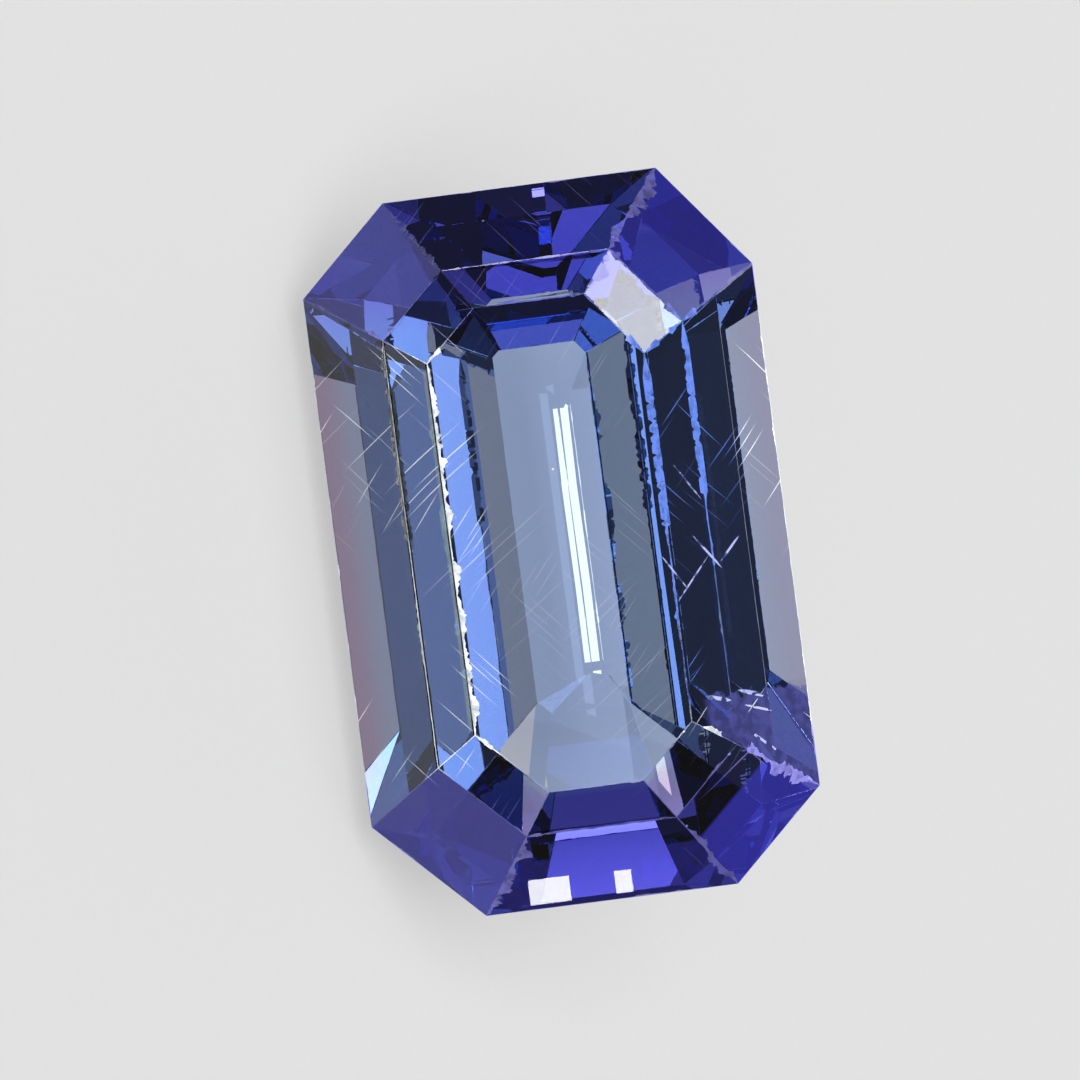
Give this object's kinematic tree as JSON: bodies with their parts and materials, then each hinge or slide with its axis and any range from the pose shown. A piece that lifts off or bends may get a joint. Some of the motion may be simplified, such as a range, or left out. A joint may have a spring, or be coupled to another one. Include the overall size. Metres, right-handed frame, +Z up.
{
  "type": "cut tanzanite gemstone",
  "caption": "Loose violet-blue tanzanite in a long step-cut octagon, with a flat table, tiered crown and pavilion facets and a narrow keel, lying on a pavilion facet.",
  "frame": {"origin": "middle of the stone's box in plan, on the surface that it lies on", "axes": "+X along the stone's length to its shallow end, +Z up from the surface, table facing -Y and up"},
  "size_m": [0.008, 0.0038, 0.0036],
  "materials": {
    "tanzanite": "polished clear crystal, violet-blue, with worn facet edges and fine scratches"
  },
  "bodies": {
    "root": {"tanzanite": "tanzanite"}
  },
  "joints": []
}
